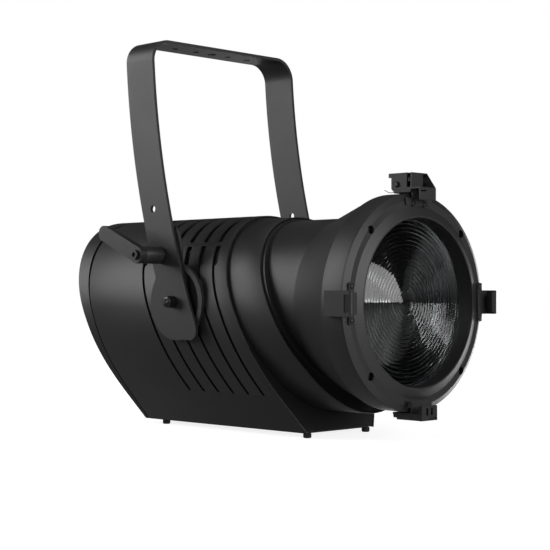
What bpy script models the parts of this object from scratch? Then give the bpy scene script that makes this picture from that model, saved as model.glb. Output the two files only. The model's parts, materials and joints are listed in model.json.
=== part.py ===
"""LED Fresnel stage spotlight with a motorised zoom, a tilting yoke, a brake lever and a hinged front latch.

Units are metres and +Z is up. The light leaves the lamp towards -Y. Pieces are drawn in the lamp's own
coordinates: x = 0 on the plane of symmetry, y = 0 on the front ring's face and z = 0 on the underside of the
base. An empty carries them all, and puts the world's origin under the middle of the lamp, at floor level.
"""

import math

import bmesh
import bpy
from mathutils import Matrix, Vector

# Lens axis and front ring
AXIS_Z = 0.1569
RING_R = 0.1275
RING_FLAT_R = 0.120
RING_INNER_FLAT_R = 0.112
OPENING_R = 0.0992
LIP_Y = -0.0045
RING_FACE_T = 0.004
BELL_FRONT_Y = 0.0053
BELL_BAND_END_Y = 0.0345
NECK_R = 0.102
NECK_FRONT_Y = 0.1022
NECK_REAR_Y = 0.205
BELL_STEPS = 44
SHEET = 0.002
GAP = 0.0003
RING_SCREW_R = 0.1167

# Lens
LENS_R = 0.100
LENS_FRONT_Y = 0.016
LENS_REAR_Y = 0.024
LENS_STEPS = 3

# Housing: an inverted U that leans back, wide at the height of CROWN_Z
CROWN_R = 0.1183
CROWN_Z = 0.1488
BASE_HALF_W = 0.0609
SIDE_HANDLE_LOW = (0.0884, 0.0454)
SIDE_HANDLE_TOP = 0.0833
FRONT_AT_AXIS_Y = 0.1917
FRONT_SLOPE = 0.46
COVER_FRONT_AT_AXIS_Y = 0.4666
COVER_FRONT_SLOPE = 0.345
SHELL_REAR_SLOPE = 0.30
COVER_SEAM = 0.001
REAR_AT_AXIS_Y = 0.4857
REAR_SLOPE = 0.43
CROWN_TOP_Z = CROWN_Z + CROWN_R

# Cooling slots
SLOT_COUNT = 6
SLOT_FIRST_Y = 0.216
SLOT_PITCH = 0.0266
SLOT_SLOPE = 0.45
SLOT_BOTTOM_Z = 0.045
SLOT_STEP_Z = 0.203
SLOT_TOP_Z = 0.226
SLOT_ROOF_Z = 0.232
SLOT_NARROW = 0.003
SLOT_WIDE = 0.007

# Middle shell between the housing and the neck
MID_R = 0.1145
MID_LOW_R = 0.102
MID_BOTTOM_Z = 0.024
MID_FRONT_AT_AXIS_Y = 0.1345
MID_SLOPE = 0.52
COLLAR_R = 0.1105
COLLAR_STAND = 0.003

# Frame clips on the front ring
CLIP_HALF_W = 0.0144
CLIP_TOP_R = 0.134
CLIP_REAR_Y = 0.026
CLIP_FRONT_Y = -0.0156
CLIP_LIP_R = 0.124
CLIP_SHEET = 0.002
EAR_HALF_W = 0.0235
EAR_LOW_R = 0.113
EAR_HIGH_R = 0.1215
WINDOW_HALF_W = 0.0098
POCKET_DEPTH = 0.0014

# Top latch
LATCH_PIN_Y = 0.019
LATCH_PIN_Z = 0.295
LATCH_TOP_Z = 0.306
LATCH_LOW_Z = 0.2855

# Yoke
PIVOT_Y = 0.286
PIVOT_Z = 0.157
YOKE_HALF_W = 0.1276
YOKE_T = 0.004
YOKE_TOP_Z = 0.491
YOKE_BOTTOM_Z = 0.110
YOKE_BEND_R = 0.029
YOKE_BAR_HALF = 0.0255
YOKE_BOW_R = 1.0
YOKE_BOW_TOP = (0.354, 0.528)
YOKE_END_R = 0.020
BAR_HOLE_XS = (-0.065, -0.029, 0.0, 0.029, 0.065)
ARM_HOLE = (0.325, 0.274)
DISC_R = 0.0495
DISC_INNER_R = 0.0385
DISC_T = 0.0043
DISC_FACE_X = 0.1233
BOLT_END_X = 0.1426

# Brake lever
LEVER_Y = 0.310
LEVER_Z = 0.2155
BARREL_R = 0.011
BARREL_END_X = 0.1585
LEVER_EYE_END_X = 0.168
LEVER_END_X = 0.1715
LEVER_STUD_END_X = 0.1190
LEVER_NUT_X = (0.1190, 0.1209)
SHOE_X = (0.1212, 0.1232)
HANDLE_END = (0.371, 0.242)

# Optics carriage
ROD_R = 0.004
ROD_ORBIT_R = 0.091
ROD_FRONT_Y = 0.108
BULKHEAD_Y = 0.298
CARRIAGE_Y = 0.238

FOOT_HEIGHT = 0.006
FOOT_SPOTS = (("front_left", -0.053, 0.127), ("front_right", 0.053, 0.127),
              ("rear_left", -0.053, 0.385), ("rear_right", 0.053, 0.385))

REAR_TOP_Y = REAR_AT_AXIS_Y + REAR_SLOPE * (CROWN_TOP_Z - AXIS_Z)
MIDDLE = Vector(((BOLT_END_X - LEVER_END_X) / 2, (REAR_TOP_Y + CLIP_FRONT_Y) / 2, -FOOT_HEIGHT))

BLACK = (0.020, 0.020, 0.022)
DARK = (0.012, 0.012, 0.013)
STEEL = (0.45, 0.45, 0.46)
ALUMINIUM = (0.60, 0.60, 0.62)


# ---------------------------------------------------------------- scene and objects

def fresh_scene():
    for obj in list(bpy.data.objects):
        bpy.data.objects.remove(obj, do_unlink=True)
    made = []
    for name in ("fresnel_spotlight", "cutters"):
        collection = bpy.data.collections.new(name)
        bpy.context.scene.collection.children.link(collection)
        made.append(collection)
    return made


PARTS, CUTTERS = fresh_scene()


def frame_empty(name, place, parent=None):
    empty = bpy.data.objects.new(name, None)
    empty.empty_display_size = 0.02
    PARTS.objects.link(empty)
    empty.parent = parent
    empty.location = place
    return empty


LAMP = frame_empty("lamp_frame", -MIDDLE)


def joint_empty(name, place):
    """An empty on a joint's axis. Its children keep the lamp's coordinates."""
    return frame_empty(name, Vector(place), LAMP)


def put(obj, holder=None):
    obj.parent = holder or LAMP
    if holder:
        obj.matrix_parent_inverse = Matrix.Translation(-holder.location)


def paint(obj, colour, roughness, metallic):
    material = bpy.data.materials.new(obj.name)
    material.use_nodes = True
    shader = material.node_tree.nodes["Principled BSDF"]
    shader.inputs["Base Color"].default_value = (*colour, 1)
    shader.inputs["Roughness"].default_value = roughness
    shader.inputs["Metallic"].default_value = metallic
    obj.data.materials.clear()
    obj.data.materials.append(material)


def piece(name, mesh, colour=BLACK, roughness=0.45, metallic=0.3, holder=None):
    mesh.name = name
    obj = bpy.data.objects.new(name, mesh)
    PARTS.objects.link(obj)
    put(obj, holder)
    paint(obj, colour, roughness, metallic)
    mesh.shade_smooth()
    mesh.set_sharp_from_angle(angle=math.radians(35))
    return obj


def boolean(obj, mesh, operation):
    """Cuts or joins a mesh that is drawn in the lamp's coordinates."""
    helper = bpy.data.objects.new(f"{obj.name}_{operation.lower()}_{len(obj.modifiers)}", mesh)
    CUTTERS.objects.link(helper)
    helper.parent = LAMP
    helper.hide_render = True
    helper.display_type = "WIRE"
    modifier = obj.modifiers.new(operation.title(), "BOOLEAN")
    modifier.operation = operation
    modifier.object = helper


def cut(obj, *meshes):
    for mesh in meshes:
        boolean(obj, mesh, "DIFFERENCE")


def join(obj, *meshes):
    for mesh in meshes:
        boolean(obj, mesh, "UNION")


# ---------------------------------------------------------------- meshes

def mesh_from(bm):
    bmesh.ops.recalc_face_normals(bm, faces=bm.faces)
    mesh = bpy.data.meshes.new("shape")
    bm.to_mesh(mesh)
    bm.free()
    return mesh


def box(low, high, frame=Matrix()):
    """A box between two corners, in the lamp's coordinates or in a frame's own."""
    bm = bmesh.new()
    low, high = Vector(low), Vector(high)
    size = Matrix.Diagonal((*(high - low), 1))
    bmesh.ops.create_cube(bm, size=1, matrix=frame @ Matrix.Translation((low + high) / 2) @ size)
    return mesh_from(bm)


def rod(start, end, radius, sides=14, end_radius=None):
    """A cylinder, or a cone, from one point to another."""
    start, end = Vector(start), Vector(end)
    turn = (end - start).to_track_quat("Z", "X").to_matrix().to_4x4()
    bm = bmesh.new()
    bmesh.ops.create_cone(bm, cap_ends=True, segments=sides, radius1=radius,
                          radius2=radius if end_radius is None else end_radius,
                          depth=(end - start).length,
                          matrix=Matrix.Translation((start + end) / 2) @ turn)
    return mesh_from(bm)


def turned(profile, frame, steps, closed=True):
    """A turned shape about a frame's Z: a Screw modifier on (radius, height) points, made into a mesh."""
    mesh = bpy.data.meshes.new("profile")
    count = len(profile)
    edges = [(i, (i + 1) % count) for i in range(count if closed else count - 1)]
    mesh.from_pydata([(r, 0, h) for r, h in profile], edges, [])
    guide = bpy.data.objects.new("profile", mesh)
    CUTTERS.objects.link(guide)
    screw = guide.modifiers.new("Screw", "SCREW")
    screw.steps = steps
    screw.render_steps = steps
    screw.use_merge_vertices = True
    screw.merge_threshold = 0.00001
    return baked(guide, frame)


def baked(guide, frame=Matrix()):
    """The evaluated mesh of a helper object, which is removed."""
    bpy.context.view_layer.update()
    graph = bpy.context.evaluated_depsgraph_get()
    mesh = bpy.data.meshes.new_from_object(guide.evaluated_get(graph))
    bpy.data.objects.remove(guide, do_unlink=True)
    bm = bmesh.new()
    bm.from_mesh(mesh)
    bmesh.ops.remove_doubles(bm, verts=bm.verts, dist=0.000002)
    bm.transform(frame)
    return mesh_from(bm)


def about_lens_axis(y=0.0):
    """Heights run forward, towards -Y, so a profile's points are (radius, -y)."""
    return Matrix.Translation((0, y, AXIS_Z)) @ Matrix.Rotation(math.radians(90), 4, "X")


def lens_turned(profile, steps, closed=True):
    return turned([(r, -y) for r, y in profile], about_lens_axis(), steps, closed)


def sheet(loops, thickness):
    """A flat outline with holes, as a filled 2D curve with thickness. It lies in XY, half above and half below."""
    curve = bpy.data.curves.new("outline", "CURVE")
    curve.dimensions = "2D"
    curve.fill_mode = "BOTH"
    curve.extrude = thickness / 2
    for loop in loops:
        spline = curve.splines.new("POLY")
        spline.points.add(len(loop) - 1)
        for point, (u, v) in zip(spline.points, loop):
            point.co = (u, v, 0, 1)
        spline.use_cyclic_u = True
    guide = bpy.data.objects.new("outline", curve)
    CUTTERS.objects.link(guide)
    return baked(guide)


def facing_y(loops, thickness, middle_y):
    """A sheet whose outline is in (x, z). middle_y(z) is where its mid-plane lies, so it may lean."""
    mesh = sheet(loops, thickness)
    for vertex in mesh.vertices:
        x, z, across = vertex.co
        vertex.co = (x, middle_y(z) - across, z)
    return mesh


def facing_x(loops, low_x, high_x):
    """A sheet whose outline is in (y, z), between two values of x."""
    mesh = sheet(loops, high_x - low_x)
    for vertex in mesh.vertices:
        y, z, across = vertex.co
        vertex.co = ((low_x + high_x) / 2 + across, y, z)
    return mesh


def facing_z(loops, low_z, high_z):
    mesh = sheet(loops, high_z - low_z)
    for vertex in mesh.vertices:
        vertex.co.z += (low_z + high_z) / 2
    return mesh


def skin(front, rear, closed, cap_rear=False, thickness=SHEET):
    """A sheet-metal skin stretched between two outlines of equally many points, thickened inwards."""
    count = len(front)
    bm = bmesh.new()
    rows = [[bm.verts.new(point) for point in row] for row in (front, rear)]
    for i in range(count if closed else count - 1):
        j = (i + 1) % count
        bm.faces.new((rows[0][i], rows[0][j], rows[1][j], rows[1][i]))
    if cap_rear:
        bm.faces.new(rows[1])
    mesh = bpy.data.meshes.new("skin")
    bm.to_mesh(mesh)
    bm.free()
    guide = bpy.data.objects.new("skin", mesh)
    CUTTERS.objects.link(guide)
    solidify = guide.modifiers.new("Solidify", "SOLIDIFY")
    solidify.thickness = thickness
    solidify.offset = -1
    solidify.use_even_offset = True
    return baked(guide)


# ---------------------------------------------------------------- outlines

def arc(centre, radius, start, end, steps):
    """Points on an arc, angles in degrees."""
    angles = [math.radians(start + (end - start) * i / steps) for i in range(steps + 1)]
    return [(centre[0] + radius * math.cos(a), centre[1] + radius * math.sin(a)) for a in angles]


def circle(centre, radius, sides=24):
    return arc(centre, radius, 0, 360, sides)[:-1]


def bezier(points, steps):
    made = []
    for i in range(steps):
        t = i / steps
        s = 1 - t
        weights = (s ** 3, 3 * s * s * t, 3 * s * t * t, t ** 3)
        made.append(tuple(sum(w * p[k] for w, p in zip(weights, points)) for k in (0, 1)))
    return made


def horseshoe():
    """The housing's outline in (x, z), from the left foot over the crown to the right foot."""
    low_x, low_z = SIDE_HANDLE_LOW
    side = bezier([(-BASE_HALF_W, 0), (-low_x, low_z), (-CROWN_R, SIDE_HANDLE_TOP), (-CROWN_R, CROWN_Z)], 5)
    crown = arc((0, CROWN_Z), CROWN_R, 180, 0, 20)
    return side + crown + [(-x, z) for x, z in reversed(side)]


def egg(radius, low_radius, bottom_z):
    """The taut loop round a large circle and a smaller one below it."""
    low_centre = bottom_z + low_radius
    lean = math.degrees(math.asin((radius - low_radius) / (CROWN_Z - low_centre)))
    upper = arc((0, CROWN_Z), radius, 180 + lean, -lean, 24)
    lower = arc((0, low_centre), low_radius, -lean, lean - 180, 9)
    return upper + lower


def inset(loop, by):
    """A closed clockwise outline moved inwards, each corner along its mitre."""
    moved = []
    count = len(loop)
    for i, point in enumerate(loop):
        before = Vector(point) - Vector(loop[i - 1])
        after = Vector(loop[(i + 1) % count]) - Vector(point)
        normals = [Vector((edge.y, -edge.x)).normalized() for edge in (before, after)]
        middle = (normals[0] + normals[1]).normalized()
        moved.append(tuple(Vector(point) + middle * by / max(0.3, middle.dot(normals[0]))))
    return moved


def front_y(z):
    return FRONT_AT_AXIS_Y + FRONT_SLOPE * (z - AXIS_Z)


def cover_front_y(z):
    return COVER_FRONT_AT_AXIS_Y + COVER_FRONT_SLOPE * (z - AXIS_Z)


def shell_rear_y(z):
    return cover_front_y(z) - COVER_SEAM - (COVER_FRONT_SLOPE - SHELL_REAR_SLOPE) * max(0, z - AXIS_Z)


def rear_y(z):
    return REAR_AT_AXIS_Y + REAR_SLOPE * (z - AXIS_Z)


def mid_y(z):
    return MID_FRONT_AT_AXIS_Y + MID_SLOPE * (z - AXIS_Z)


def on_plane(outline, plane):
    return [(x, plane(z), z) for x, z in outline]


# ---------------------------------------------------------------- housing

def slot_cutter():
    """All cooling slots: a stepped slot in each flank, and one over the roof above it."""
    loops = []
    for i in range(SLOT_COUNT):
        def at(z, half, i=i):
            return (SLOT_FIRST_Y + i * SLOT_PITCH + SLOT_SLOPE * (z - AXIS_Z) + half, z)

        narrow, wide = SLOT_NARROW / 2, SLOT_WIDE / 2
        flank = [(SLOT_BOTTOM_Z, narrow), (SLOT_STEP_Z, narrow), (SLOT_STEP_Z, wide), (SLOT_TOP_Z, wide)]
        roof = [(SLOT_ROOF_Z, wide), (CROWN_TOP_Z + 0.01, wide)]
        for side in (flank, roof):
            loops.append([at(z, half) for z, half in side] + [at(z, -half) for z, half in reversed(side)])
    return facing_x(loops, -0.15, 0.15)


def make_housing():
    outline = horseshoe()
    shell = piece("housing_shell", skin(on_plane(outline, front_y), on_plane(outline, shell_rear_y), False))
    cut(shell, slot_cutter(), rod((-0.15, PIVOT_Y, PIVOT_Z), (0.15, PIVOT_Y, PIVOT_Z), 0.0063))

    front = front_y(0) + 0.0035
    rear = cover_front_y(0) - GAP
    piece("base_pan", box((-0.0575, front, 0), (0.0575, rear, 0.002)))

    inner = inset(outline, SHEET + GAP)
    opening = egg(MID_R + GAP, MID_LOW_R + GAP, MID_BOTTOM_Z - GAP)
    plate = facing_y([inner, opening], SHEET, lambda z: front_y(z) + 0.002)
    low = piece("front_plate", plate)
    cut(low, box((-0.1, 0, -0.01), (0.1, 0.3, 0.0004)))

    bulkhead = facing_y([inset(outline, 0.004), circle((0, AXIS_Z), 0.050, 24)], SHEET, lambda z: BULKHEAD_Y)
    wall = piece("bulkhead", bulkhead, ALUMINIUM, 0.5, 0.8)
    spots = [(-ROD_ORBIT_R, AXIS_Z), (ROD_ORBIT_R, AXIS_Z), (0, AXIS_Z - ROD_ORBIT_R)]
    for x, z in spots:
        cut(wall, rod((x, BULKHEAD_Y - 0.01, z), (x, BULKHEAD_Y + 0.01, z), ROD_R + GAP, 16))

    for name, x, y in FOOT_SPOTS:
        foot = rod((x, y, -FOOT_HEIGHT), (x, y, -GAP), 0.0044, 16, 0.0052)
        piece(f"foot_{name}", foot, DARK, 0.8, 0.0)


def collar_outline():
    """A circle about the lens axis, held inside the middle shell where the crown comes close."""
    drop = AXIS_Z - CROWN_Z
    inner_r = MID_R - SHEET - 3 * GAP
    points = []
    for i in range(36):
        angle = math.radians(i * 10)
        to_shell = math.sqrt(inner_r ** 2 - (drop * math.cos(angle)) ** 2) - drop * math.sin(angle)
        radius = min(COLLAR_R, to_shell)
        points.append((radius * math.cos(angle), AXIS_Z + radius * math.sin(angle)))
    return points


def make_mid_shell():
    outline = egg(MID_R, MID_LOW_R, MID_BOTTOM_Z)
    rear = on_plane(outline, lambda z: front_y(z) + 0.008)
    piece("mid_shell", skin(on_plane(outline, mid_y), rear, True))
    face = facing_y([inset(outline, SHEET + GAP)], SHEET, lambda z: mid_y(z) + 0.002)
    plate = piece("mid_plate", face)
    collar = facing_y([collar_outline()], COLLAR_STAND + 0.002,
                      lambda z: mid_y(z) + 0.0005 - COLLAR_STAND / 2)
    join(plate, collar)
    passage = [(0, 0), *bell_outside(GAP), (0, NECK_REAR_Y)]
    cut(plate, lens_turned(passage, BELL_STEPS, False))


# ---------------------------------------------------------------- front

def bell_outside(grow):
    """The bell's outer profile from the ring's band down the flare to the neck, grown by a clearance."""
    ease = 0.0025
    profile = [(RING_R, BELL_FRONT_Y), (RING_R, BELL_BAND_END_Y), (RING_R - 0.0012, BELL_BAND_END_Y + ease),
               (NECK_R + 0.0012, NECK_FRONT_Y - ease), (NECK_R, NECK_FRONT_Y + ease), (NECK_R, NECK_REAR_Y)]
    return [(r + grow, y + grow) for r, y in profile]


def make_front():
    bell = [*bell_outside(0), (NECK_R - SHEET, NECK_REAR_Y), (NECK_R - SHEET, NECK_FRONT_Y),
            (RING_R - 0.0022, BELL_BAND_END_Y), (RING_R - 0.0022, BELL_FRONT_Y)]
    piece("front_bell", lens_turned(bell, BELL_STEPS))

    plug_r = RING_R - 0.0025
    bezel = [(OPENING_R, LIP_Y), (OPENING_R + 0.0018, LIP_Y), (RING_INNER_FLAT_R, 0), (RING_FLAT_R, 0),
             (RING_R, RING_FACE_T), (RING_R, 0.005), (plug_r, 0.005), (plug_r, 0.012), (0.122, 0.012),
             (0.122, RING_FACE_T), (RING_INNER_FLAT_R, RING_FACE_T), (LENS_R + 0.004, 0.001),
             (LENS_R + 0.004, 0.030), (LENS_R + 0.0004, 0.030), (LENS_R + 0.0004, LENS_FRONT_Y - 0.0006),
             (OPENING_R, LENS_FRONT_Y - 0.0006)]
    ring = piece("front_bezel", lens_turned(bezel, BELL_STEPS))
    for i in range(4):
        angle = math.radians(45 + 90 * i)
        x, z = RING_SCREW_R * math.cos(angle), AXIS_Z + RING_SCREW_R * math.sin(angle)
        cut(ring, rod((x, -0.01, z), (x, 0.014, z), 0.0041, 16))
        screw = [(0, 0.0012), (0.0036, 0.0012), (0.0036, 0.0042), (0.0017, 0.0042), (0.0017, 0.0115), (0, 0.0115)]
        frame = Matrix.Translation((x, 0, z)) @ Matrix.Rotation(math.radians(90), 4, "X")
        piece(f"bezel_screw_{i + 1}", turned([(r, -y) for r, y in screw], frame, 12, False), DARK, 0.35, 0.9)

    step = (LENS_R - 0.004) / LENS_STEPS
    face = [(0, LENS_FRONT_Y)]
    for i in range(LENS_STEPS):
        face += [((i + 1) * step, LENS_FRONT_Y + 0.003), ((i + 1) * step + 0.0004, LENS_FRONT_Y)]
    lens = face + [(LENS_R, LENS_FRONT_Y), (LENS_R, LENS_REAR_Y), (0, LENS_REAR_Y)]
    piece("fresnel_lens", lens_turned(lens, BELL_STEPS, False), (0.85, 0.88, 0.90), 0.05, 0.0)

    back = LENS_REAR_Y + GAP
    keeper = [(LENS_R, back), (LENS_R, back + 0.0025), (0.094, back + 0.0025), (0.094, back)]
    piece("lens_retainer", lens_turned(keeper, BELL_STEPS), BLACK, 0.5, 0.6)


def clip_frame(angle):
    """Clip coordinates: u outwards from the ring, v along y, w along the ring. The result maps (w, v, u)."""
    turn = Matrix.Rotation(math.radians(angle), 4, "Y")
    return Matrix.Translation((0, 0, AXIS_Z)) @ turn


def clip_profile():
    rim = RING_R + GAP
    return [(CLIP_REAR_Y, rim), (CLIP_REAR_Y - 0.0015, CLIP_TOP_R), (CLIP_FRONT_Y, CLIP_TOP_R),
            (CLIP_FRONT_Y, CLIP_LIP_R), (CLIP_FRONT_Y + CLIP_SHEET, CLIP_LIP_R),
            (CLIP_FRONT_Y + CLIP_SHEET, CLIP_TOP_R - CLIP_SHEET), (-0.002, CLIP_TOP_R - CLIP_SHEET),
            (-0.002, EAR_LOW_R), (-GAP, EAR_LOW_R), (-GAP, rim)]


def make_clips():
    for name, angle in (("left", -90), ("right", 90), ("bottom", 180)):
        frame = clip_frame(angle)
        body = facing_x([clip_profile()], -CLIP_HALF_W, CLIP_HALF_W)
        body.transform(frame)
        clip = piece(f"clip_{name}", body)
        join(clip, box((-EAR_HALF_W, -0.002, EAR_LOW_R + 0.0002), (EAR_HALF_W, -GAP - 0.0001, EAR_HIGH_R), frame))
        cut(clip, box((-WINDOW_HALF_W, CLIP_FRONT_Y + 0.0025, CLIP_TOP_R - POCKET_DEPTH),
                      (WINDOW_HALF_W, -0.005, CLIP_TOP_R + 0.002), frame))


def make_latch():
    rim_z = AXIS_Z + RING_R + 0.0004
    pin = ((-0.0139, LATCH_PIN_Y, LATCH_PIN_Z), (0.0139, LATCH_PIN_Y, LATCH_PIN_Z))
    base = piece("latch_base", box((-0.0118, -0.002, rim_z), (0.0118, 0.026, rim_z + 0.002)))
    join(base, box((-0.0117, 0.010, rim_z + 0.0005), (0.0117, 0.025, 0.299)),
         box((-0.0117, -0.0019, AXIS_Z + EAR_LOW_R), (0.0117, -GAP, rim_z + 0.001)),
         box((-EAR_HALF_W, -0.002, AXIS_Z + EAR_LOW_R + 0.0002), (EAR_HALF_W, -GAP - 0.0001, AXIS_Z + EAR_HIGH_R)))
    cut(base, rod((-0.02, *pin[0][1:]), (0.02, *pin[0][1:]), 0.0028, 16))
    piece("latch_pin", rod(*pin, 0.0025, 16), STEEL, 0.3, 1.0)

    axis = joint_empty("latch_axis", (0, LATCH_PIN_Y, LATCH_PIN_Z))
    side = [(0.022, LATCH_LOW_Z), (0.028, LATCH_LOW_Z + 0.0055), (0.028, 0.302), (0.032, 0.302),
            (0.032, LATCH_TOP_Z), (-0.0023, LATCH_TOP_Z), (CLIP_FRONT_Y, 0.288), (CLIP_FRONT_Y, 0.276),
            (CLIP_FRONT_Y + CLIP_SHEET, 0.276), (CLIP_FRONT_Y + CLIP_SHEET, 0.289), (-0.001, 0.289),
            (-0.001, LATCH_LOW_Z)]
    latch = piece("top_latch", facing_x([side], -CLIP_HALF_W, CLIP_HALF_W), holder=axis)
    hollow = [(0.045, 0.270), (0.045, 0.304), (-0.0023, 0.304), (-0.0115, 0.2906), (-0.001, 0.2906),
              (-0.001, 0.270)]
    cut(latch, facing_x([hollow], -0.0121, 0.0121),
        rod((-0.02, LATCH_PIN_Y, LATCH_PIN_Z), (0.02, LATCH_PIN_Y, LATCH_PIN_Z), 0.0028, 16))


# ---------------------------------------------------------------- yoke and brake

def yoke_y(z):
    """Where the middle of the yoke's bar lies: the arms bow forward as they come down."""
    top_y, top_z = YOKE_BOW_TOP
    return top_y - YOKE_BOW_R + math.sqrt(YOKE_BOW_R ** 2 - (top_z - z) ** 2)


def yoke_half(z):
    """Half the bar's width, with round corners at the arm's lower end."""
    rise = min(z - YOKE_BOTTOM_Z, YOKE_END_R)
    return YOKE_BAR_HALF - YOKE_END_R + math.sqrt(YOKE_END_R ** 2 - (YOKE_END_R - rise) ** 2)


def make_yoke():
    bend_z = YOKE_TOP_Z - YOKE_BEND_R
    ends = [YOKE_BOTTOM_Z + YOKE_END_R * t for t in (0.004, 0.06, 0.2, 0.45, 1.0)]
    arm = ends + [YOKE_BOTTOM_Z + (bend_z - YOKE_BOTTOM_Z) * t / 10 for t in range(2, 10)]
    left = [(-YOKE_HALF_W, z) for z in arm]
    left += arc((-YOKE_HALF_W + YOKE_BEND_R, bend_z), YOKE_BEND_R, 180, 90, 7)
    path = left + [(-x, z) for x, z in reversed(left)]
    rows = [[(x, yoke_y(z) + side * yoke_half(z), z) for x, z in path] for side in (-1, 1)]

    axis = joint_empty("tilt_axis", (0, PIVOT_Y, PIVOT_Z))
    yoke = piece("yoke", skin(*rows, False, thickness=YOKE_T), roughness=0.5, holder=axis)
    cut(yoke, rod((-0.15, PIVOT_Y, PIVOT_Z), (0.15, PIVOT_Y, PIVOT_Z), 0.0063),
        rod((-0.15, *ARM_HOLE), (0.15, *ARM_HOLE), 0.0045),
        rod((-0.15, LEVER_Y, LEVER_Z), (-0.1, LEVER_Y, LEVER_Z), 0.0046))
    for x in BAR_HOLE_XS:
        radius = 0.0065 if x == 0 else 0.0045
        cut(yoke, rod((x, YOKE_BOW_TOP[0], YOKE_TOP_Z - 0.01), (x, YOKE_BOW_TOP[0], YOKE_TOP_Z + 0.01), radius))


def brake_disc_loops():
    centre = (PIVOT_Y, PIVOT_Z)
    loops = [circle(centre, DISC_R, 36), circle(centre, 0.0063, 16)]
    for middle in (0, 180):
        loops.append(arc(centre, DISC_INNER_R, middle - 56, middle + 56, 10))
    return loops


def make_brake():
    for name, side in (("left", -1), ("right", 1)):
        faces = sorted((side * DISC_FACE_X, side * (DISC_FACE_X - DISC_T)))
        piece(f"brake_disc_{name}", facing_x(brake_disc_loops(), *faces), roughness=0.5)
        frame = Matrix.Translation((0, PIVOT_Y, PIVOT_Z)) @ Matrix.Rotation(math.radians(90 * side), 4, "Y")
        head = YOKE_HALF_W + GAP
        bolt = [(0, BOLT_END_X), (0.0035, BOLT_END_X), (0.0042, BOLT_END_X - 0.0028),
                (0.0066, BOLT_END_X - 0.003), (0.0074, BOLT_END_X - 0.0045), (0.0074, head), (0.006, head),
                (0.006, 0.112), (0, 0.112)]
        piece(f"pivot_bolt_{name}", turned(bolt, frame, 14, False), DARK, 0.35, 0.9)


def shoe_outline():
    """The brake shoe beside the disc: its lower edge follows the disc's rim."""
    span = [math.degrees(math.acos((y - PIVOT_Y) / (DISC_R + 0.0005))) for y in (0.320, 0.277)]
    rim = arc((PIVOT_Y, PIVOT_Z), DISC_R + 0.0005, span[1], span[0], 8)
    return rim + [(0.322, 0.234), (0.304, 0.249), (0.292, 0.249), (0.286, 0.243), (0.277, 0.224)]


def make_lever():
    axis = joint_empty("lever_axis", (0, LEVER_Y, LEVER_Z))

    def shaft(*stretches):
        """A turned shape on the lever's axis, from its outer end: (radius, distance from x = 0)."""
        frame = Matrix.Translation((0, LEVER_Y, LEVER_Z)) @ Matrix.Rotation(math.radians(-90), 4, "Y")
        return turned([(0, stretches[0][1]), *stretches, (0, stretches[-1][1])], frame, 16, False)

    face = YOKE_HALF_W + GAP
    barrel = shaft((BARREL_R, BARREL_END_X), (BARREL_R, face), (0.004, face), (0.004, LEVER_STUD_END_X))
    piece("lever_barrel", barrel, holder=axis)

    reach = Vector((HANDLE_END[0] - LEVER_Y, HANDLE_END[1] - LEVER_Z))
    lean = math.degrees(math.atan2(reach.y, reach.x))
    outline = arc((LEVER_Y, LEVER_Z), BARREL_R, lean + 115, lean + 245, 10)
    outline += arc(HANDLE_END, 0.0085, lean - 95, lean + 95, 10)
    bar = facing_x([outline, circle((LEVER_Y, LEVER_Z), 0.0033, 16)], -LEVER_EYE_END_X, -BARREL_END_X - GAP)
    piece("lever_handle", bar, holder=axis)

    head = LEVER_EYE_END_X + GAP
    screw = shaft((0.0062, LEVER_END_X), (0.0062, head), (0.003, head), (0.003, BARREL_END_X + 0.0006))
    piece("lever_screw", screw, DARK, 0.35, 0.9, axis)

    nut = rod((-LEVER_NUT_X[1], LEVER_Y, LEVER_Z), (-LEVER_NUT_X[0], LEVER_Y, LEVER_Z), 0.0085, 6)
    ring = piece("lever_nut", nut, STEEL, 0.35, 1.0, axis)
    cut(ring, rod((-0.13, LEVER_Y, LEVER_Z), (-0.10, LEVER_Y, LEVER_Z), 0.0043, 16))

    slide = joint_empty("shoe_slide", (0, LEVER_Y, LEVER_Z))
    loops = [shoe_outline(), circle((LEVER_Y, LEVER_Z), 0.0062, 16), circle((0.297, 0.242), 0.003, 12)]
    shoe = facing_x(loops, -SHOE_X[1], -SHOE_X[0])
    piece("brake_shoe", shoe, roughness=0.5, holder=slide)


# ---------------------------------------------------------------- inside

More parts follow.
